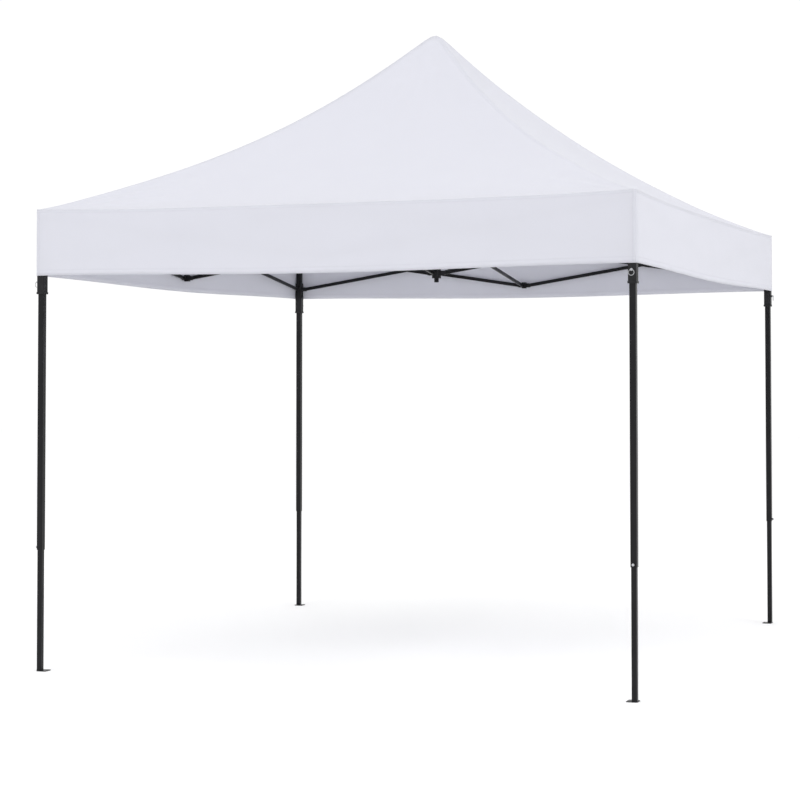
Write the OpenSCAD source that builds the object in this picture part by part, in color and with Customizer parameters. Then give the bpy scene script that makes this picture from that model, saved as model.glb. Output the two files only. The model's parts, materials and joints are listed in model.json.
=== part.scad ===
// Pop-up canopy, 3.05 m square: a folding scissor frame on four telescopic legs under a one-piece roof cover.
// Origin: on the ground at the centre of the plan. +Z is up, -Y is the front, +X is the right side.
// Corners are numbered counter-clockwise from the front left: 0 front left, 1 front right, 2 back right,
// 3 back left. Side n runs from corner n to corner n+1, so side 0 is the front.
// Each side truss has two scissors; each centre truss has one scissor from the middle of a side to the hubs.
// The shape shown is the frame fully open with the lower legs drawn out.

/* [Overall] */
// distance from the centre to a leg centre, along X and along Y
leg_offset = 1500; // [1000:1:2200]
// height of the upper row of pivots above the ground
upper_pivot_z = 2210; // [1900:1:2700]
// height between the upper and the lower row of pivots with the frame open
truss_h = 220; // [180:1:320]

/* [Scissor bars] */
// depth of a bar, across its length in the plane of the truss
bar_w = 20; // [14:0.5:24]
// thickness of a bar, across the plane of the truss
bar_t = 10; // [8:0.5:12]
// wall of a bar tube
bar_wall = 1; // [0.8:0.1:2]
// corner radius of a bar tube
bar_round = 2.5; // [1:0.5:4]
// length of a bar past its end pivot
bar_end = 11; // [9:0.5:13]
// gap between the two crossed bars of a scissor
bar_gap = 1; // [0.5:0.1:2]

/* [Pivots] */
// diameter of a pivot rivet
rivet_d = 6; // [4:0.5:8]
// diameter of a rivet head
rivet_head_d = 11; // [8:0.5:14]
// height of a rivet head
rivet_head_h = 2; // [1:0.25:4]
// radial clearance between a rivet and the hole in the bar that turns on it
rivet_fit = 0.05; // [0.01:0.01:0.1]
// thickness of the ear plates on both sides of a bar end
ear_t = 3; // [2:0.5:4]
// gap between an ear plate and the bar end between two ears
ear_gap = 0.5; // [0.3:0.1:1]
// radius of the round end of an ear plate
ear_r = 12; // [9:0.5:14]
// gap between a slider and the bar end that swings beside it
leg_swing_gap = 10.5; // [2:0.5:30]
// gap between a mid-side bracket and the bar ends that swing beside it
mid_swing_gap = 1.2; // [1:0.1:6]

/* [Brackets] */
// width of the block of a mid-side bracket
mid_block_w = 22; // [16:0.5:24]
// height of the block of a mid-side bracket
mid_block_h = 36; // [26:1:50]
// wall of the top bracket around the leg head
top_wall = 3; // [2:0.5:5]
// height of the top bracket
top_h = 76; // [60:1:100]
// how far the top bracket stands above the upper pivots
top_rise = 38; // [26:1:44]

/* [Outer legs] */
// width of the square outer leg tube
outer_w = 30; // [26:1:40]
// wall of the outer leg tube
outer_wall = 1.2; // [1:0.1:2.5]
// corner radius of the outer leg tube
outer_round = 3; // [1:0.5:5]
// height of the lower end of the outer leg above the ground
outer_bottom_z = 590; // [520:1:595]

/* [Inner legs] */
// gap between the inner and the outer leg tube on each side
leg_gap = 1.3; // [0.5:0.1:2.5]
// wall of the inner leg tube
inner_wall = 1.2; // [1:0.1:2.5]
// corner radius of the inner leg tube
inner_round = 2.5; // [1:0.5:5]
// length of inner leg inside the outer leg with the leg drawn out
inner_overlap = 250; // [120:1:400]
// side of the square foot plate
foot_w = 52; // [40:1:90]
// thickness of the foot plate
foot_t = 4; // [3:0.5:8]
// corner radius of the foot plate
foot_round = 5; // [2:0.5:12]
// how far the foot plate stands out past the outer faces of the inner leg
foot_lip = 1.5; // [0:0.5:10]
// diameter of the stake hole in the foot plate
stake_hole_d = 10; // [6:0.5:14]
// distance of the stake hole from the leg centre, along X and along Y
stake_hole_offset = 27; // [22:0.5:60]

/* [Sliders] */
// gap between a slider and the outer leg on each side
slider_gap = 0.5; // [0.3:0.1:1.5]
// wall of a slider
slider_wall = 4; // [3:0.5:6]
// corner radius of a slider
slider_round = 4; // [2:0.5:6]
// height of a slider above its pivots
slider_up = 38; // [20:1:60]
// height of a slider below its pivots
slider_down = 150; // [110:1:152]
// height of the flared lip at the lower end of a slider
lip_h = 10; // [4:1:20]
// how far the lip stands out
lip_out = 2; // [0:0.5:5]

/* [Spring pins] */
// diameter of a spring pin
pin_d = 7; // [5:0.5:8]
// radial clearance between a spring pin and its hole
pin_fit = 0.08; // [0.05:0.01:0.1]
// distance of a slider pin below the slider pivots
pin_drop = 90; // [50:1:120]
// height of a leg pin above the lower end of the outer leg
leg_pin_rise = 12; // [8:0.5:13]
// gap between the tip of a spring pin and the tube behind it
pin_tip_gap = 0.3; // [0.2:0.1:0.5]
// outer diameter of the boss that a spring pin slides in
boss_d = 11; // [9.5:0.5:12]
// length of that boss
boss_l = 6; // [3:0.5:12]
// gap between a boss and the shoulder of the knob on its pin
knob_gap = 0.3; // [0.2:0.1:2]
// diameter of the knob of a spring pin
knob_d = 12; // [9:0.5:12]
// thickness of that knob
knob_t = 4; // [2:0.5:8]
// outer diameter of the pull ring on a slider pin
ring_d = 28; // [20:1:36]
// diameter of the stub that the pull ring hangs from
stub_d = 6; // [5:0.5:8]
// length of that stub in front of the knob
stub_l = 5; // [4:0.5:8]
// wire diameter of the pull ring
ring_wire_d = 2.5; // [1.5:0.25:4]

/* [Hubs and mast] */
// radius of the round core of each hub
hub_r = 24; // [20:0.5:25]
// height of the upper hub above its pivots
hub_top = 20; // [14:1:30]
// height of the upper hub below its pivots
hub_under = 18; // [14:1:20]
// height of the lower hub core above and below its pivots
low_hub_half = 28; // [16:1:40]
// gap between the top of the mast socket and the upper hub with the frame open
socket_gap = 7; // [3:0.5:60]
// wall of the mast socket
socket_wall = 2.5; // [1.5:0.5:5]
// diameter of the mast
mast_d = 25; // [20:1:34]
// wall of the mast tube
mast_wall = 1.5; // [1:0.1:3]
// radial clearance between the mast and the hubs
mast_fit = 0.3; // [0.2:0.05:0.6]
// how far the mast reaches below the lower pivots
mast_drop = 50; // [30:1:80]
// height of the underside of the mast cap above the upper pivots
mast_rise = 1028; // [700:1:1300]
// radius of the mast cap
cap_r = 42; // [30:1:60]
// thickness of the rim of the mast cap
cap_rim = 5; // [3:0.5:12]
// height of the mast cap over its underside
cap_h = 24; // [12:1:40]

/* [Cover] */
// gap between the valances and the sliders
cover_gap = 3; // [1:0.5:20]
// thickness of the cover
cover_t = 1.5; // [1:0.5:4]
// gap between the top brackets and the roof
eave_gap = 6.5; // [1:0.5:20]
// height of the valance
valance_h = 326; // [150:1:400]
// gap between the rim of the mast cap and the roof
rim_gap = 5.2; // [3:0.1:15]
// how hard the hip seams curve near the peak; 1 would be straight
hip_curve = 1.70; // [1:0.01:2]
// how much of that curve eases off toward the eave
hip_ease = 0.45; // [0:0.01:0.6]
// distance from the peak over which the roof is rounded
peak_round = 30.5; // [15:0.5:80]
// how far the cloth sags between the hip seams, as a share of the roof height
roof_sag = 0.03; // [0:0.005:0.1]

/* [Hidden] */
SIDES = [0, 1, 2, 3];
bar_off = (bar_t + bar_gap) / 2;
ear_near = bar_t / 2 + ear_gap;
ear_far = ear_near + ear_t;
slider_in = outer_w + 2 * slider_gap;
slider_w = slider_in + 2 * slider_wall;
lower_pivot_z = upper_pivot_z - truss_h;
mid_pivot_z = (upper_pivot_z + lower_pivot_z) / 2;
bar_swing = sqrt(bar_end * bar_end + bar_w * bar_w / 4);
leg_pivot_offset = slider_w / 2 + leg_swing_gap + bar_swing;
mid_pivot_offset = ear_far + bar_off + mid_swing_gap + bar_swing;
hub_pivot_offset = leg_pivot_offset;
span = leg_offset - leg_pivot_offset - mid_pivot_offset;
bar_len = sqrt(span * span + truss_h * truss_h);
bar_rise = atan2(truss_h, span);
side_mid_x = mid_pivot_offset + span / 2;
arm_mid_y = -(hub_pivot_offset + span / 2);
hole_d = rivet_d + 2 * rivet_fit;
slider_bottom_z = lower_pivot_z - slider_down;
slider_top_z = lower_pivot_z + slider_up;
top_in = outer_w;
top_w = top_in + 2 * top_wall;
leg_top_z = upper_pivot_z + top_rise - top_wall;
pin_hole_d = pin_d + 2 * pin_fit;
inner_w = outer_w - 2 * outer_wall - 2 * leg_gap;
inner_top_z = outer_bottom_z + inner_overlap;
mast_hole_d = mast_d + 2 * mast_fit;
socket_h = truss_h - hub_under - socket_gap;
cap_z = upper_pivot_z + mast_rise;
cover_half = leg_offset + slider_w / 2 + cover_gap + cover_t;
eave_z = upper_pivot_z + top_rise + eave_gap + cover_t;
peak_share = peak_round / cover_half;
roof_rise = (cap_z + cap_rim + rim_gap + cover_t - eave_z) / roof_share(cap_r / cover_half, 0);
GRID = 24;
GRID_POWER = 1.5;
ROUND = 48;
SMALL = 24;

// filled rectangle with round corners, centred
module rounded(w, d, r) {
    square([w - 2 * r, d], center = true);
    square([w, d - 2 * r], center = true);
    for (sx = [-1, 1])
        for (sy = [-1, 1])
            translate([sx * (w / 2 - r), sy * (d / 2 - r)])
                circle(r = r, $fn = SMALL);
}

// ring cut of a square tube with round corners
module tube_cut(w, d, wall, r) {
    difference() {
        rounded(w, d, r);
        rounded(w - 2 * wall, d - 2 * wall, r - wall / 2);
    }
}

// cylinder along Y, centred
module pin_y(d, l) {
    rotate([90, 0, 0])
        cylinder(d = d, h = l, center = true, $fn = SMALL);
}

// scissor bar along X with its middle at the origin; crossing = "rivet" or "hole", toward = side of the
// other bar
module bar(crossing, toward) {
    difference() {
        rotate([90, 0, 90])
            linear_extrude(height = bar_len + 2 * bar_end, center = true)
                tube_cut(bar_t, bar_w, bar_wall, bar_round);
        for (sx = [-1, 1])
            translate([sx * bar_len / 2, 0, 0])
                pin_y(hole_d, 2 * bar_t);
        if (crossing == "hole")
            pin_y(hole_d, 2 * bar_t);
    }
    if (crossing == "rivet") {
        near = bar_t / 2;
        far = near + bar_gap + bar_t + ear_gap;
        translate([0, toward * (far - near) / 2, 0])
            pin_y(rivet_d, far + near + rivet_head_h);
        translate([0, -toward * (near + rivet_head_h / 2), 0])
            pin_y(rivet_head_d, rivet_head_h);
        translate([0, toward * (far + rivet_head_h / 2), 0])
            pin_y(rivet_head_d, rivet_head_h);
    }
}

// pair of ears along +X for one bar end: pivot at the origin, bar centred on Y = 0, rooted at X = -root
module ears(root) {
    for (sy = [-1, 1])
        translate([0, sy * (ear_near + ear_t / 2), 0]) {
            pin_y(2 * ear_r, ear_t);
            translate([-root / 2, 0, 0])
                cube([root, ear_t, 2 * ear_r], center = true);
        }
    pin_y(rivet_d, 2 * ear_far + 0.5 * rivet_head_h);
    for (sy = [-1, 1])
        translate([0, sy * (ear_far + rivet_head_h / 2), 0])
            pin_y(rivet_head_d, rivet_head_h);
}

// scissor bar of side 0 that slopes down from the left end to the right end
module bar_falling(x, y, crossing, toward) {
    translate([x, y, mid_pivot_z])
        rotate([0, bar_rise, 0])
            bar(crossing, toward);
}

// scissor bar of side 0 that slopes up from the left end to the right end
module bar_rising(x, y, crossing, toward) {
    translate([x, y, mid_pivot_z])
        rotate([0, -bar_rise, 0])
            bar(crossing, toward);
}

// scissor A is the one next to corner n; its down bar runs from the top bracket to the lower mid bracket
module bar_a_down() {
    color([0.10, 0.10, 0.11])
        bar_falling(-side_mid_x, -leg_offset - bar_off, "rivet", 1);
}

module bar_a_up() {
    color([0.10, 0.10, 0.11])
        bar_rising(-side_mid_x, -leg_offset + bar_off, "hole", 1);
}

// scissor B is the one next to corner n+1; its down bar runs from the top bracket to the lower mid bracket
module bar_b_down() {
    color([0.10, 0.10, 0.11])
        bar_rising(side_mid_x, -leg_offset - bar_off, "rivet", 1);
}

module bar_b_up() {
    color([0.10, 0.10, 0.11])
        bar_falling(side_mid_x, -leg_offset + bar_off, "hole", 1);
}

// centre scissor: the up arm runs from the lower mid bracket up to the upper hub
module arm_up() {
    color([0.10, 0.10, 0.11])
        translate([bar_off, arm_mid_y, mid_pivot_z])
            rotate([0, 0, 90])
                rotate([0, -bar_rise, 0])
                    bar("rivet", 1);
}

// centre scissor: the down arm runs from the upper mid bracket down to the lower hub
module arm_down() {
    color([0.10, 0.10, 0.11])
        translate([-bar_off, arm_mid_y, mid_pivot_z])
            rotate([0, 0, 90])
                rotate([0, bar_rise, 0])
                    bar("hole", 1);
}

// mid-side bracket: two ears along the side and one ear toward the hubs
module mid_bracket(side_shift, arm_shift, z) {
    root = mid_pivot_offset - mid_block_w / 2 + 1;
    color([0.13, 0.13, 0.14])
        translate([0, -leg_offset, z]) {
            cube([mid_block_w, 2 * (ear_far + bar_off), mid_block_h], center = true);
            translate([mid_pivot_offset, side_shift, 0])
                ears(root);
            translate([-mid_pivot_offset, side_shift, 0])
                rotate([0, 0, 180])
                    ears(root);
            translate([arm_shift, mid_pivot_offset, 0])
                rotate([0, 0, 90])
                    ears(mid_pivot_offset - bar_off);
        }
}

module mid_upper() {
    mid_bracket(bar_off, -bar_off, upper_pivot_z);
}

module mid_lower() {
    mid_bracket(-bar_off, bar_off, lower_pivot_z);
}

// top bracket on the head of an outer leg
module top_bracket() {
    root = leg_pivot_offset - outer_w / 2 - 1;
    color([0.13, 0.13, 0.14])
        translate([-leg_offset, -leg_offset, 0]) {
            difference() {
                translate([0, 0, upper_pivot_z + top_rise - top_h])
                    linear_extrude(height = top_h)
                        rounded(top_w, top_w, slider_round);
                translate([0, 0, upper_pivot_z + top_rise - top_h - 1])
                    linear_extrude(height = top_h - top_wall + 1)
                        rounded(top_in, top_in, outer_round);
            }
            translate([leg_pivot_offset, -bar_off, upper_pivot_z])
                ears(root);
            translate([-bar_off, leg_pivot_offset, upper_pivot_z])
                rotate([0, 0, 90])
                    ears(root);
        }
}

// outer leg with the boss of its leg pin
module outer_leg() {
    pin_z = outer_bottom_z + leg_pin_rise;
    color([0.09, 0.09, 0.10])
        translate([-leg_offset, -leg_offset, 0])
            difference() {
                union() {
                    translate([0, 0, outer_bottom_z])
                        linear_extrude(height = leg_top_z - outer_bottom_z)
                            tube_cut(outer_w, outer_w, outer_wall, outer_round);
                    translate([-outer_w / 2 - boss_l / 2 + outer_wall / 2, 0, pin_z])
                        rotate([0, 90, 0])
                            cylinder(d = boss_d, h = boss_l + outer_wall, center = true, $fn = SMALL);
                }
                translate([-outer_w / 2, 0, pin_z])
                    rotate([0, 90, 0])
                        cylinder(d = pin_hole_d, h = 4 * boss_l, center = true, $fn = SMALL);
            }
}

// inner leg with its welded foot plate, which reaches inward under the canopy
module inner_leg() {
    plate_shift = foot_w / 2 - inner_w / 2 - foot_lip;
    color([0.12, 0.12, 0.13])
        translate([-leg_offset, -leg_offset, 0]) {
            difference() {
                translate([plate_shift, plate_shift, 0])
                    linear_extrude(height = foot_t)
                        rounded(foot_w, foot_w, foot_round);
                translate([stake_hole_offset, stake_hole_offset, -1])
                    cylinder(d = stake_hole_d, h = foot_t + 2, $fn = ROUND);
            }
            translate([0, 0, foot_t / 2])
                linear_extrude(height = inner_top_z - foot_t / 2)
                    tube_cut(inner_w, inner_w, inner_wall, inner_round);
        }
}

// slider that rides on the outer leg
module slider() {
    root = leg_pivot_offset - slider_in / 2 - 1;
    pin_z = lower_pivot_z - pin_drop;
    color([0.13, 0.13, 0.14])
        translate([-leg_offset, -leg_offset, 0]) {
            difference() {
                union() {
                    translate([0, 0, slider_bottom_z])
                        linear_extrude(height = slider_top_z - slider_bottom_z)
                            rounded(slider_w, slider_w, slider_round);
                    translate([0, 0, slider_bottom_z])
                        linear_extrude(height = lip_h)
                            rounded(slider_w + 2 * lip_out, slider_w + 2 * lip_out, slider_round);
                    translate([-slider_in / 2 - boss_l / 2 - slider_wall / 2, 0, pin_z])
                        rotate([0, 90, 0])
                            cylinder(d = boss_d, h = boss_l + slider_wall, center = true, $fn = SMALL);
                }
                translate([0, 0, slider_bottom_z - 1])
                    linear_extrude(height = slider_top_z - slider_bottom_z + 2)
                        rounded(slider_in, slider_in, outer_round);
                translate([-slider_in / 2, 0, pin_z])
                    rotate([0, 90, 0])
                        cylinder(d = pin_hole_d, h = 4 * boss_l, center = true, $fn = SMALL);
            }
            translate([leg_pivot_offset, bar_off, lower_pivot_z])
                ears(root);
            translate([bar_off, leg_pivot_offset, lower_pivot_z])
                rotate([0, 0, 90])
                    ears(root);
        }
}

// spring pin along -X: tip at x = -tip, knob shoulder at x = -shoulder
module spring_pin(tip, shoulder) {
    translate([-shoulder - knob_t / 2, 0, 0])
        rotate([0, 90, 0])
            cylinder(d = knob_d, h = knob_t, center = true, $fn = SMALL);
    translate([-(tip + shoulder + 1) / 2, 0, 0])
        rotate([0, 90, 0])
            cylinder(d = pin_d, h = shoulder + 1 - tip, center = true, $fn = SMALL);
}

// pin of a slider, with its pull ring hanging from a stub in front of the knob
module slider_pin() {
    shoulder = slider_in / 2 + slider_wall + boss_l + knob_gap;
    color([0.75, 0.76, 0.78])
        translate([-leg_offset, -leg_offset, lower_pivot_z - pin_drop]) {
            spring_pin(outer_w / 2 + pin_tip_gap, shoulder);
            translate([-shoulder - knob_t - stub_l / 2 + 0.5, 0, 0])
                rotate([0, 90, 0])
                    cylinder(d = stub_d, h = stub_l + 1, center = true, $fn = SMALL);
            translate([-shoulder - knob_t - stub_l / 2, 0, -(ring_d - ring_wire_d) / 2])
                rotate([0, 90, 0])
                    rotate_extrude($fn = ROUND)
                        translate([(ring_d - ring_wire_d) / 2, 0])
                            circle(d = ring_wire_d, $fn = SMALL);
        }
}

// pin that locks the drawn-out inner leg
module leg_pin() {
    color([0.75, 0.76, 0.78])
        translate([-leg_offset, -leg_offset, outer_bottom_z + leg_pin_rise])
            spring_pin(inner_w / 2 + pin_tip_gap, outer_w / 2 + boss_l + knob_gap);
}

// round hub core with four pairs of ears
module hub(shift, z, under, over) {
    root = hub_pivot_offset - hub_r / 2 - mast_hole_d / 4;
    difference() {
        union() {
            translate([0, 0, z - under])
                cylinder(r = hub_r, h = under + over, $fn = ROUND);
            for (k = SIDES)
                rotate([0, 0, 90 * k])
                    translate([shift, -hub_pivot_offset, z])
                        rotate([0, 0, -90])
                            ears(root);
        }
        translate([0, 0, z - 2 * under])
            cylinder(d = mast_hole_d, h = 4 * under, $fn = ROUND);
    }
}

module upper_hub() {
    color([0.13, 0.13, 0.14])
        hub(bar_off, upper_pivot_z, hub_under, hub_top);
}

// lower hub with the socket that the mast stands in
module lower_hub() {
    color([0.13, 0.13, 0.14]) {
        hub(-bar_off, lower_pivot_z, low_hub_half, low_hub_half);
        translate([0, 0, lower_pivot_z + low_hub_half / 2])
            linear_extrude(height = socket_h - low_hub_half / 2)
                difference() {
                    circle(d = mast_hole_d + 2 * socket_wall, $fn = ROUND);
                    circle(d = mast_hole_d, $fn = ROUND);
                }
    }
}

// mast: tube with a domed cap that holds up the peak of the cover
module mast() {
    foot_z = lower_pivot_z - mast_drop;
    dome_r = (cap_r * cap_r + (cap_h - cap_rim) * (cap_h - cap_rim)) / (2 * (cap_h - cap_rim));
    color([0.13, 0.13, 0.14]) {
        translate([0, 0, foot_z])
            linear_extrude(height = cap_z - foot_z + 1)
                difference() {
                    circle(d = mast_d, $fn = ROUND);
                    circle(d = mast_d - 2 * mast_wall, $fn = ROUND);
                }
        translate([0, 0, cap_z])
            cylinder(r = cap_r, h = cap_rim, $fn = ROUND);
        intersection() {
            translate([0, 0, cap_z + cap_h - dome_r])
                sphere(r = dome_r, $fn = ROUND);
            translate([0, 0, cap_z + cap_rim / 2])
                cylinder(r = cap_r, h = cap_h, $fn = ROUND);
        }
    }
}

// share m of the way out from the peak, flattened at the peak itself
function rounded_share(m) =
    (sqrt(m * m + peak_share * peak_share) - peak_share) / (sqrt(1 + peak_share * peak_share) - peak_share);

// share of the roof height left at m of the way from the peak to the eave along a hip seam
function hip_share(m) =
    let (r = rounded_share(m))
    r >= 1 ? 0 : pow(1 - r, hip_curve - hip_ease * r);

// share of the roof height left at plan position x, y, both as shares of the half width
function roof_share(x, y) =
    let (m = max(abs(x), abs(y)), s = m == 0 ? 1 : min(abs(x), abs(y)) / m)
    hip_share(m) - roof_sag * sin(180 * m) * (1 - s * s);

// height of the outer face of the roof at plan position x, y
function roof_z(x, y) = eave_z + roof_rise * roof_share(x, y);

// place of grid line i from -1 at one eave to 1 at the other, closer together near the peak
function grid_at(i) =
    let (t = 2 * i / GRID - 1)
    sign(t) * pow(abs(t), GRID_POWER);

// cover: one roof sheet of thickness cover_t with four valances hanging from its eave; the edge that splits
// each grid cell runs the same way as the nearest hip
module cover() {
    n = GRID + 1;
    top = [for (j = [0:GRID]) for (i = [0:GRID])
        [cover_half * grid_at(i), cover_half * grid_at(j), roof_z(grid_at(i), grid_at(j))]];
    low = [for (j = [0:GRID]) for (i = [0:GRID])
        [cover_half * grid_at(i), cover_half * grid_at(j), roof_z(grid_at(i), grid_at(j)) - cover_t]];
    cells = [for (j = [0:GRID - 1]) for (i = [0:GRID - 1])
        [i + j * n, i + 1 + j * n, i + (j + 1) * n, (2 * i < GRID) == (2 * j < GRID)]];
    up = [for (c = cells) for (t = c[3]
        ? [[c[0], c[2] + 1, c[1]], [c[0], c[2], c[2] + 1]]
        : [[c[0], c[2], c[1]], [c[1], c[2], c[2] + 1]]) t];
    down = [for (t = up) [t[2] + n * n, t[1] + n * n, t[0] + n * n]];
    front = [for (i = [0:GRID - 1]) [i, i + 1, i + 1 + n * n, i + n * n]];
    back = [for (i = [0:GRID - 1])
        [i + 1 + GRID * n, i + GRID * n, i + GRID * n + n * n, i + 1 + GRID * n + n * n]];
    left = [for (j = [0:GRID - 1]) [(j + 1) * n, j * n, j * n + n * n, (j + 1) * n + n * n]];
    right = [for (j = [0:GRID - 1])
        [j * n + GRID, (j + 1) * n + GRID, (j + 1) * n + GRID + n * n, j * n + GRID + n * n]];
    color([0.93, 0.93, 0.96]) {
        polyhedron(
            points = concat(top, low),
            faces = concat(up, down, front, back, left, right),
            convexity = 6);
        translate([0, 0, eave_z - valance_h])
            linear_extrude(height = valance_h - cover_t / 2)
                difference() {
                    square(2 * cover_half, center = true);
                    square(2 * (cover_half - cover_t), center = true);
                }
    }
}

upper_hub();
lower_hub();
mast();
cover();
for (k = SIDES) {
    rotate([0, 0, 90 * k]) arm_up();
    rotate([0, 0, 90 * k]) arm_down();
    rotate([0, 0, 90 * k]) mid_upper();
    rotate([0, 0, 90 * k]) mid_lower();
    rotate([0, 0, 90 * k]) bar_a_down();
    rotate([0, 0, 90 * k]) bar_a_up();
    rotate([0, 0, 90 * k]) bar_b_down();
    rotate([0, 0, 90 * k]) bar_b_up();
    rotate([0, 0, 90 * k]) top_bracket();
    rotate([0, 0, 90 * k]) outer_leg();
    rotate([0, 0, 90 * k]) inner_leg();
    rotate([0, 0, 90 * k]) slider();
    rotate([0, 0, 90 * k]) slider_pin();
    rotate([0, 0, 90 * k]) leg_pin();
}
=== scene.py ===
"""Pop-up canopy: a white cover on a black folding frame, on a plain pale floor.

The frame, legs, brackets, hubs, mast and pins are the CAD parts, with procedural finishes. The cover is built here
as one sheet from the middle of the roof over the eave and down the valances.

Roof height above the eave, at a place m of the way out from the peak (m is the larger of |x| and |y| over the half
width), is the rise times (1 - r) to the power (curve - ease * r), where r is m rounded off at the peak. Between the
hip seams the cloth sags by a share of the rise that is a half sine of m, and it falls to nothing at each hip. The
eave droops between the corners by a fourth-power curve. On top of that lie tension folds that fan out from the
corners and the mast, and slow waves in the valances.

When the frame folds, the cover follows it. Each leg and mid-side bracket carries its share of the plan. That share
is held back close to the mast cap, and the plan shrinks evenly outside it. The mast lowers the peak. The lower hub
draws slack cloth down in one lobe between each pair of trusses. The pleats of the valances are places where the
cloth takes a little less than its share.
"""

import json
import math

import bpy
import numpy as np
from mathutils import Matrix, Vector

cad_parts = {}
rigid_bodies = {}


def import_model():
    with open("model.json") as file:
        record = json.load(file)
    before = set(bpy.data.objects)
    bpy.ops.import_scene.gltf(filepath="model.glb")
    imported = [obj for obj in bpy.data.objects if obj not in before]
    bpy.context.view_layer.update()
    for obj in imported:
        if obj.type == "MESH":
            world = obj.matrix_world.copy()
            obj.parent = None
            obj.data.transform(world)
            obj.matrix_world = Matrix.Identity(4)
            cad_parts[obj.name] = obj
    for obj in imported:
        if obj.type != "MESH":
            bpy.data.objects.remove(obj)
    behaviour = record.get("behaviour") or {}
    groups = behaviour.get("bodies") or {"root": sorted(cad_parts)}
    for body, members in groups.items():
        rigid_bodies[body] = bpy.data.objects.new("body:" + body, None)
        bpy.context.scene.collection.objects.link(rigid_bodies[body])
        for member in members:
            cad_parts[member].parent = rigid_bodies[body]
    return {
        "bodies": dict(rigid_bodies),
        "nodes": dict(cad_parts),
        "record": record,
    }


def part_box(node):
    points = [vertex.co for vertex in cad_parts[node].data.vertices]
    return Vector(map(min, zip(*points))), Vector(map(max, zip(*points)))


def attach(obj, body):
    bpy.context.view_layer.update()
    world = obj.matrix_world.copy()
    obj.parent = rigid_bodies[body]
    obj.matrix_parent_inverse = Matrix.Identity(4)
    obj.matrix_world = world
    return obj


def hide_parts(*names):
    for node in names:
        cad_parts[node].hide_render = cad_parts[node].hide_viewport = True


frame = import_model()


def write_size():
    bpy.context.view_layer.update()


write_size()


# ---------------------------------------------------------------- frame: tubes, fittings and pins
# Powder-coated steel tube, moulded black fittings and bare steel pins, riveted into a scissor frame. Their shapes
# are the CAD parts. Each finish takes a faint unevenness of colour, gloss and grain.
class Sock:
    """A shader output that can be added, multiplied and so on, each adding one Math node."""

    def __init__(self, tree, out):
        self.tree = tree
        self.out = out

    def _math(self, operation, *terms):
        node = self.tree.nodes.new("ShaderNodeMath")
        node.operation = operation
        for place, term in zip(node.inputs, terms):
            if isinstance(term, Sock):
                self.tree.links.new(term.out, place)
            else:
                place.default_value = term
        return Sock(self.tree, node.outputs[0])

    def __add__(self, other):
        return self._math("ADD", self, other)

    __radd__ = __add__

    def __mul__(self, other):
        return self._math("MULTIPLY", self, other)

    __rmul__ = __mul__

    def __sub__(self, other):
        return self._math("SUBTRACT", self, other)

    def __rsub__(self, other):
        return self._math("SUBTRACT", other, self)

    def power(self, exponent):
        return self._math("POWER", self, exponent)

    def size(self):
        return self._math("ABSOLUTE", self)

    def larger(self, other):
        return self._math("MAXIMUM", self, other)

    def below(self, limit):
        return self._math("LESS_THAN", self, limit)

    def near(self, reach):
        """1 at zero, falling to 0 at reach on either side."""
        return (1 - self.size() * (1 / reach)).clamped()

    def clamped(self):
        return self._math("MINIMUM", self._math("MAXIMUM", self, 0.0), 1.0)


class Finish:
    """A material under construction: its tree, its Principled shader and one method for each kind of node."""

    def __init__(self, name, **values):
        self.material = bpy.data.materials.new(name)
        self.material.use_nodes = True
        self.tree = self.material.node_tree
        self.shader = self.tree.nodes["Principled BSDF"]
        for socket, value in values.items():
            self.shader.inputs[socket.replace("_", " ")].default_value = value

    def node(self, kind, inputs=(), **settings):
        made = self.tree.nodes.new("ShaderNode" + kind)
        for key, value in settings.items():
            setattr(made, key, value)
        for socket, value in dict(inputs).items():
            if isinstance(value, Sock):
                self.tree.links.new(value.out, made.inputs[socket])
            elif hasattr(value, "is_output"):
                self.tree.links.new(value, made.inputs[socket])
            else:
                made.inputs[socket].default_value = value
        return made

    def place(self, scale=(1.0, 1.0, 1.0)):
        """Object coordinates, stretched by scale."""
        coords = self.node("TexCoord").outputs["Object"]
        return self.node("VectorMath", {0: coords, 1: scale}, operation="MULTIPLY").outputs[0]

    def noise(self, scale, detail=3.0, roughness=0.55, vector=None):
        vector = vector or self.place()
        node = self.node("TexNoise", {"Vector": vector, "Scale": scale, "Detail": detail, "Roughness": roughness})
        return Sock(self.tree, node.outputs["Fac"])

    def attribute(self, name):
        return Sock(self.tree, self.node("Attribute", attribute_name=name).outputs["Fac"])

    def mix(self, factor, low, high):
        """Colour between low and high."""
        node = self.node("Mix", {0: factor, 6: low, 7: high}, data_type="RGBA")
        return node.outputs[2]

    def feed(self, socket, source):
        self.tree.links.new(source.out if isinstance(source, Sock) else source, self.shader.inputs[socket])

    def bump(self, height, strength, distance):
        node = self.node("Bump", {"Height": height, "Strength": strength, "Distance": distance})
        self.feed("Normal", node.outputs["Normal"])


TUBE_BLACK = (0.004, 0.004, 0.005, 1.0)
TUBE_WORN = (0.011, 0.011, 0.013, 1.0)
FITTING_BLACK = (0.007, 0.007, 0.008, 1.0)
FITTING_WORN = (0.016, 0.016, 0.018, 1.0)
STEEL = (0.58, 0.59, 0.61, 1.0)
STEEL_DULL = (0.40, 0.40, 0.42, 1.0)
COATING_GLOSS = 0.2
TUBE_CLOUDS = 9.0
TUBE_CONTRAST = 2.0
TUBE_GRAIN = 900.0
TUBE_GRAIN_HEIGHT = 0.0004
TUBE_ROUGH = 0.26
FITTING_MOTTLE = 40.0
FITTING_GRAIN = 600.0
FITTING_GRAIN_HEIGHT = 0.0005
FITTING_ROUGH = 0.42
COATING_ROUGHER = 0.16
STEEL_LINES = 60.0
STEEL_STRETCH = (1.0, 1.0, 12.0)
STEEL_ROUGH = 0.22
STEEL_ROUGHER = 0.2

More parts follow.
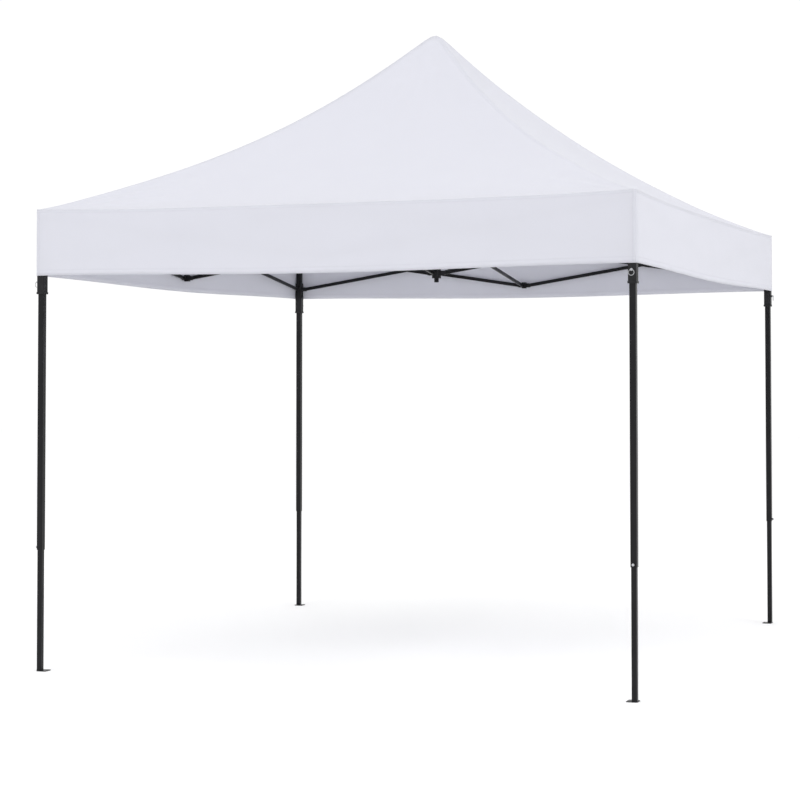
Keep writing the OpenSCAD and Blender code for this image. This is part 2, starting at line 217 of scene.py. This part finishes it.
tube = Finish("powder_coat", Specular_IOR_Level=COATING_GLOSS)
cloudy = tube.noise(TUBE_CLOUDS, 4.0)
tube.feed("Base Color", tube.mix(cloudy.power(TUBE_CONTRAST), TUBE_BLACK, TUBE_WORN))
tube.feed("Roughness", TUBE_ROUGH + COATING_ROUGHER * cloudy)
tube.bump(tube.noise(TUBE_GRAIN, 2.0), 0.12, TUBE_GRAIN_HEIGHT)

fitting = Finish("moulded_black", Specular_IOR_Level=COATING_GLOSS)
mottle = fitting.noise(FITTING_MOTTLE, 3.0)
fitting.feed("Base Color", fitting.mix(mottle, FITTING_BLACK, FITTING_WORN))
fitting.feed("Roughness", FITTING_ROUGH + COATING_ROUGHER * mottle)
fitting.bump(fitting.noise(FITTING_GRAIN, 2.0), 0.2, FITTING_GRAIN_HEIGHT)

steel = Finish("bare_steel", Metallic=1.0)
drawn = steel.noise(STEEL_LINES, 4.0, vector=steel.place(STEEL_STRETCH))
steel.feed("Base Color", steel.mix(drawn, STEEL, STEEL_DULL))
steel.feed("Roughness", STEEL_ROUGH + STEEL_ROUGHER * drawn)

FINISHES = {
    "black_tube": tube.material,
    "black_casting": fitting.material,
    "silver_steel": steel.material,
}
slot_of = {part["node"]: part["material_slot"] for part in frame["record"]["subparts"]}
for name, obj in frame["nodes"].items():
    if slot_of[name] in FINISHES:
        obj.data.materials.clear()
        obj.data.materials.append(FINISHES[slot_of[name]])

# ---------------------------------------------------------------- cover
# Coated white cloth, cut as four roof panels with a valance each and sewn along the hips and the eave. It is one
# mesh: a square grid for the roof, whose rim carries on down as the valances. The grid lines bunch toward the eave,
# and the cells are turned so that their first corner lies the same way along the nearest hip.
SEED = 7
rng = np.random.default_rng(SEED)
VALANCE = 0.326
CELLS = 176
VALANCE_ROWS = 18
CORNER_ROUND = 0.007
EDGE_BUNCH = 0.6
HIP_CURVE = 1.70
HIP_EASE = 0.45
PEAK_ROUND = 0.017
ROOF_SAG = 0.032
EAVE_DROOP = 0.018
HEM_DROOP = 0.016
CLOTH = 0.0012
PEAK_BELOW = 0.002
FOLD_HEIGHT = 0.0035
SMALL_FOLDS = 0.6
FOLD_FADE = 0.12
CORNER_RIBS = (22, 30)
CORNER_REACH = 0.55
PEAK_RIBS = 28
PEAK_REACH = 0.30
PLANE_WAVES = 9
PLANE_WAVE_COUNTS = (5, 14)
WAVES_PER_SIDE = (2.3, 3.7, 6.1, 9.2, 14.3)
WAVE_DEPTH = 0.005
HEM_CURL = 0.003

low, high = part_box("cover")
half = high.x - CLOTH
peak = high.z - PEAK_BELOW
eave = low.z + VALANCE
rise = peak - eave

even = np.linspace(-1.0, 1.0, CELLS + 1)
lines = (1 - EDGE_BUNCH) * even + EDGE_BUNCH * np.sin(np.pi * even / 2)
u, v = np.meshgrid(lines, lines, indexing="xy")
u, v = u.ravel(), v.ravel()


def rounded(m):
    """m with its tip at the peak rounded off: the arm of a hyperbola, scaled to be 0 at 0 and 1 at 1."""
    return (np.sqrt(m * m + PEAK_ROUND**2) - PEAK_ROUND) / (math.sqrt(1 + PEAK_ROUND**2) - PEAK_ROUND)


def soft_square(a, b):
    """Plan position of grid place a, b: a square of half side half * m whose corners are pulled onto a round.

    The radius of the round grows as the twelfth power of m, so only the eave shows it.
    """
    m = np.maximum(np.abs(a), np.abs(b))
    radius = CORNER_ROUND * m**12 + 1e-9
    flat = half * m - radius
    over_a, over_b = np.maximum(half * np.abs(a) - flat, 0), np.maximum(half * np.abs(b) - flat, 0)
    pull = radius / np.hypot(over_a, over_b)
    x = np.where(over_a > 0, flat + over_a * pull, half * np.abs(a))
    y = np.where(over_b > 0, flat + over_b * pull, half * np.abs(b))
    return np.sign(a) * x, np.sign(b) * y


def roof_height(a, b):
    """Height of the roof at grid place a, b: the hip's power curve less the sag, less the droop of the eave."""
    m = np.maximum(np.abs(a), np.abs(b))
    s = np.minimum(np.abs(a), np.abs(b)) / np.maximum(m, 1e-9)
    r = rounded(m)
    hip = np.maximum(1 - r, 0) ** (HIP_CURVE - HIP_EASE * r)
    sag = ROOF_SAG * np.sin(np.pi * m) * (1 - s * s)
    droop = EAVE_DROOP * m**4 * (1 - s**4)
    return eave + rise * (hip - sag) - droop


def fan(a, b, centre, count, reach, phase):
    """Tension folds that fan out from centre: a sine of the angle times a bell curve of distance over reach."""
    dx, dy = a - centre[0], b - centre[1]
    d = np.hypot(dx, dy)
    angle = np.arctan2(dy, dx)
    near = np.clip(d / (0.25 * reach), 0, 1)
    return np.sin(count * angle + phase) * near * np.exp(-((d / reach) ** 2))


def slow_noise(a, b, waves, low_count, high_count):
    """Sum of a few plane waves in random directions, about -1 to 1."""
    total = np.zeros_like(a)
    for _ in range(waves):
        turn, shift = rng.uniform(0, 2 * np.pi, 2)
        count = rng.uniform(low_count, high_count)
        total += np.sin(count * (a * np.cos(turn) + b * np.sin(turn)) + shift)
    return total / math.sqrt(waves)


x, y = soft_square(u, v)
z = roof_height(u, v)
inner = np.clip((1 - np.maximum(np.abs(u), np.abs(v))) / FOLD_FADE, 0, 1)
for corner in ((-1, -1), (1, -1), (1, 1), (-1, 1)):
    z += FOLD_HEIGHT * fan(u, v, corner, rng.integers(*CORNER_RIBS), CORNER_REACH, rng.uniform(0, 6)) * inner
z += SMALL_FOLDS * FOLD_HEIGHT * fan(u, v, (0, 0), PEAK_RIBS, PEAK_REACH, 1.0)
z += SMALL_FOLDS * FOLD_HEIGHT * slow_noise(u, v, PLANE_WAVES, *PLANE_WAVE_COUNTS) * inner
roof = np.column_stack([x, y, z])

n = CELLS + 1
grid = np.arange(n * n).reshape(n, n)
rim = np.concatenate([grid[0, :-1], grid[:-1, -1], grid[-1, :0:-1], grid[:0:-1, 0]])
count = len(rim)
cells = np.stack([grid[:-1, :-1], grid[:-1, 1:], grid[1:, 1:], grid[1:, :-1]], -1)
left = np.arange(CELLS) < CELLS // 2
other_hip = (left[:, None] != left[None, :])[..., None]
cells = np.where(other_hip, np.roll(cells, 1, axis=-1), cells).reshape(-1, 4)

# Place along the perimeter, from 0 at the front left corner, one per side
side_of = np.arange(count) // CELLS
along = side_of + 0.5 + 0.5 * np.choose(side_of % 4, [u[rim], v[rim], -u[rim], -v[rim]])
from_corner = np.sin(np.pi * (along % 1.0))
outward = np.column_stack([u[rim], v[rim]])
outward = np.where(np.abs(outward) > 0.9999, np.sign(outward), 0.0)
outward /= np.linalg.norm(outward, axis=1)[:, None]
wave = np.zeros(count)
for waves_per_side in WAVES_PER_SIDE:
    wave += np.sin(2 * np.pi * waves_per_side * along + rng.uniform(0, 6)) / waves_per_side**0.6
down = np.linspace(0, 1, VALANCE_ROWS + 1)[1:]
hang = []
for t in down:
    ring = roof[rim].copy()
    push = 0.5 * WAVE_DEPTH * wave * from_corner**0.5 * t**1.4 + HEM_CURL * from_corner * t**8
    ring[:, :2] += outward * push[:, None]
    ring[:, 2] += t * (eave - VALANCE - HEM_DROOP * from_corner**2 - ring[:, 2])
    hang.append(ring)
points = np.vstack([roof, *hang])
rings = np.vstack([rim] + [n * n + k * count + np.arange(count) for k in range(VALANCE_ROWS)])
skirt = np.stack([rings[:-1], rings[1:], np.roll(rings[1:], -1, 1), np.roll(rings[:-1], -1, 1)], -1)
faces = np.vstack([cells, skirt.reshape(-1, 4)])

cover = bpy.data.objects.new("canopy_cover", bpy.data.meshes.new("canopy_cover"))
bpy.context.scene.collection.objects.link(cover)
mesh = cover.data
mesh.vertices.add(len(points))
mesh.vertices.foreach_set("co", points.ravel())
mesh.loops.add(faces.size)
mesh.loops.foreach_set("vertex_index", faces.ravel())
mesh.polygons.add(len(faces))
mesh.polygons.foreach_set("loop_start", np.arange(0, faces.size, 4))
mesh.update(calc_edges=True)
mesh.validate()
mesh.shade_smooth()

# Seams and weave. Attributes hold the grid place and the drop below the eave. From them the cloth works out the
# distance to the nearest hip, to the eave and to the hem, and shows its seam tapes and stitching there.
SEAM = 0.013
HEM = 0.028
STITCH = 0.0022
all_u = np.concatenate([u] + [u[rim]] * VALANCE_ROWS)
all_v = np.concatenate([v] + [v[rim]] * VALANCE_ROWS)
hem_drop = np.concatenate([np.zeros(n * n)] + [np.full(count, t * VALANCE) for t in down])
for name, values in (("place_u", all_u), ("place_v", all_v), ("drop", hem_drop)):
    attribute = mesh.attributes.new(name, "FLOAT", "POINT")
    attribute.data.foreach_set("value", values.astype(np.float32))

CLOTH_WHITE = (0.70, 0.705, 0.765, 1.0)
# Dimmer copy of the cloth white. It is painted shade for the creases and the real darker tone of the seam tapes and
# stitching.
CLOTH_PAINTED_SHADE_AND_SEAM_TONE = (0.63, 0.635, 0.70, 1.0)
GLOW = (0.75, 0.75, 0.79, 1.0)
GLOW_SHARE = 0.22
WEAVE = 1400.0
CREASE = 3.2
# The crease share is painted shade in the folds. The tape and stitch shares are the seams' own tone.
CREASE_PAINTED_SHADE, TAPE_TINT, STITCH_TINT = 0.3, 0.12, 0.45
CLOTH_ROUGH, CREASE_ROUGHER = 0.55, 0.12
WEAVE_RISE, CREASE_RISE, TAPE_RISE, STITCH_DIP = 0.04, 0.5, 0.22, 0.3
RELIEF_STRENGTH, RELIEF_HEIGHT = 0.5, 0.004
cloth = Finish("coated_cloth", Sheen_Weight=0.15)
right, back = cloth.attribute("place_u").size(), cloth.attribute("place_v").size()
drop = cloth.attribute("drop")
from_hip = (right - back).size() * (half / math.sqrt(2))
from_eave = (1 - right.larger(back)) * half + drop
from_hem = VALANCE - drop
tape = (from_hip.below(SEAM) + from_eave.below(SEAM) + from_hem.below(HEM)).clamped()
stitches = (
    (from_hip - SEAM).near(STITCH) + (from_eave - SEAM).near(STITCH) + (from_hem - HEM).near(STITCH)
).clamped()
weave = cloth.noise(WEAVE, 2.0)
crease = cloth.noise(CREASE, 5.0, 0.6)
# The crease noise darkens the cloth colour as painted shade in its folds. The seam tapes and stitching take their
# own slightly darker tone.
painted_shade_and_seam_tone = CREASE_PAINTED_SHADE * crease + TAPE_TINT * tape + STITCH_TINT * stitches
cloth.feed("Base Color", cloth.mix(painted_shade_and_seam_tone, CLOTH_WHITE, CLOTH_PAINTED_SHADE_AND_SEAM_TONE))
cloth.feed("Roughness", CLOTH_ROUGH + CREASE_ROUGHER * crease)
relief = WEAVE_RISE * weave + CREASE_RISE * crease + TAPE_RISE * tape - STITCH_DIP * stitches
cloth.bump(relief, RELIEF_STRENGTH, RELIEF_HEIGHT)
through = cloth.node("BsdfTranslucent", {"Color": GLOW})
both = cloth.node("MixShader", {0: GLOW_SHARE, 1: cloth.shader.outputs[0], 2: through.outputs[0]})
cloth.tree.links.new(both.outputs[0], cloth.tree.nodes["Material Output"].inputs["Surface"])
mesh.materials.append(cloth.material)

# Hooks that let the cover follow the frame: one per leg and mid-side bracket for the plan, one on the mast for the
# peak and one on the lower hub for the slack. Weights are shares of the body's travel.
PLEATS = 16
PLEAT_SHARE = 0.07
PLEAT_FROM = 0.8
PLEAT_ZONE = 0.2
SLACK_SHARE = 0.55
GROUP_STEPS = 1024
CAP_CLEAR = 0.047
FOLDED_SHARE = 0.1
LOBE_FROM = 0.2
LOBE_TO = 0.84

size_u, size_v = np.abs(all_u), np.abs(all_v)
outermost = np.maximum(size_u, size_v)
edge = np.clip((outermost - PLEAT_FROM) / PLEAT_ZONE, 0, 1)
side_place = np.where(size_u >= size_v, all_v, all_u)
pleat = 0.5 - 0.5 * np.cos(2 * np.pi * PLEATS * (side_place * 0.5 + 0.5))
reach = outermost * half
past_cap = np.clip((reach - CAP_CLEAR) / np.maximum((1 - FOLDED_SHARE) * reach, 1e-9), 0, 1)
held = (1 - PLEAT_SHARE * pleat * edge**2) * past_cap / past_cap.max()
weights = {}
for k, (sx, sy) in enumerate(((-1, -1), (1, -1), (1, 1), (-1, 1))):
    quarter = (np.sign(all_u) == sx) & (np.sign(all_v) == sy)
    weights[f"outer_leg_{k}"] = size_u * size_v * held * quarter
for k, (axis, sign) in enumerate(((all_v, -1), (all_u, 1), (all_v, 1), (all_u, -1))):
    across = size_u if axis is all_v else size_v
    weights[f"mid_upper_{k}"] = np.abs(axis) * (1 - across) * held * (np.sign(axis) == sign)
hip_power = HIP_CURVE - HIP_EASE * outermost
weights["mast"] = np.clip(np.maximum(1 - rounded(outermost), 0) ** hip_power, 0, 1) * (hem_drop == 0)
lobe_u, lobe_v = (np.clip((size - LOBE_FROM) / (LOBE_TO - LOBE_FROM), 0, 1) for size in (size_u, size_v))
weights["lower_hub"] = SLACK_SHARE * np.sin(np.pi * lobe_u) * np.sin(np.pi * lobe_v) * (hem_drop == 0)

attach(cover, "upper_hub")
for body, share in weights.items():
    group = cover.vertex_groups.new(name="with_" + body)
    level_of = np.round(np.clip(share, 0, 1) * GROUP_STEPS).astype(int)
    order = np.argsort(level_of, kind="stable")
    levels, starts = np.unique(level_of[order], return_index=True)
    for level, members in zip(levels, np.split(order, starts[1:])):
        if level:
            group.add(members.tolist(), level / GROUP_STEPS, "REPLACE")
    hook = cover.modifiers.new("follow_" + body, "HOOK")
    hook.object = frame["bodies"][body]
    hook.vertex_group = group.name
    hook.falloff_type = "NONE"
    hook.matrix_inverse = Matrix.Identity(4)
shell = cover.modifiers.new("thickness", "SOLIDIFY")
shell.thickness = CLOTH
shell.offset = -1.0
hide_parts("cover")

# ---------------------------------------------------------------- floor, light and camera
# A pale floor that runs out of sight, a bright even surround and two large soft lamps.
FLOOR_SIZE = 80.0
FLOOR_PALE = (0.98, 0.98, 0.98, 1.0)
floor_mesh = bpy.data.meshes.new("floor")
floor_corners = [(-1, -1, 0), (1, -1, 0), (1, 1, 0), (-1, 1, 0)]
floor_mesh.from_pydata([Vector(c) * FLOOR_SIZE / 2 for c in floor_corners], [], [(0, 1, 2, 3)])
floor = bpy.data.objects.new("floor", floor_mesh)
bpy.context.scene.collection.objects.link(floor)
pale = Finish("pale_floor", Roughness=0.8)
pale.shader.inputs["Base Color"].default_value = FLOOR_PALE
floor_mesh.materials.append(pale.material)

WORLD_STRENGTH = 1.03
world = bpy.data.worlds.new("studio")
bpy.context.scene.world = world
world.use_nodes = True
world.node_tree.nodes["Background"].inputs["Color"].default_value = (1.0, 1.0, 1.0, 1.0)
world.node_tree.nodes["Background"].inputs["Strength"].default_value = WORLD_STRENGTH


def soft_lamp(name, place, target, size, watts):
    """Square area lamp at place, facing target."""
    data = bpy.data.lights.new(name, "AREA")
    data.size = size
    data.energy = watts
    lamp = bpy.data.objects.new(name, data)
    lamp.location = place
    lamp.rotation_euler = (Vector(target) - Vector(place)).to_track_quat("-Z", "Y").to_euler()
    bpy.context.scene.collection.objects.link(lamp)


LAMP_TARGET = (0, 0, 2.0)
LAMP_SIZE = 5.0
soft_lamp("key", (-4.0, -8.0, 9.0), LAMP_TARGET, LAMP_SIZE, 260.0)
soft_lamp("fill", (9.0, -2.0, 8.0), LAMP_TARGET, LAMP_SIZE, 300.0)
bpy.context.scene.view_settings.view_transform = "Standard"

CAMERA_PLACE = (3.805, -10.006, 1.415)
HEADING = math.radians(109.04)
PITCH = math.radians(2.02)
ROLL = math.radians(-0.12)
SENSOR_WIDTH = 36.0
LENS = 89.6
SHIFT = (-0.123, -0.113)
camera_data = bpy.data.cameras.new("camera")
camera_data.sensor_width = SENSOR_WIDTH
camera_data.lens = LENS
camera_data.shift_x, camera_data.shift_y = SHIFT
camera = bpy.data.objects.new("camera", camera_data)
aim = Vector((math.cos(PITCH) * math.cos(HEADING), math.cos(PITCH) * math.sin(HEADING), math.sin(PITCH)))
turn = aim.to_track_quat("-Z", "Y").to_matrix().to_4x4()
camera.matrix_world = Matrix.Translation(CAMERA_PLACE) @ turn @ Matrix.Rotation(ROLL, 4, "Z")
bpy.context.scene.collection.objects.link(camera)
bpy.context.scene.camera = camera

write_size()
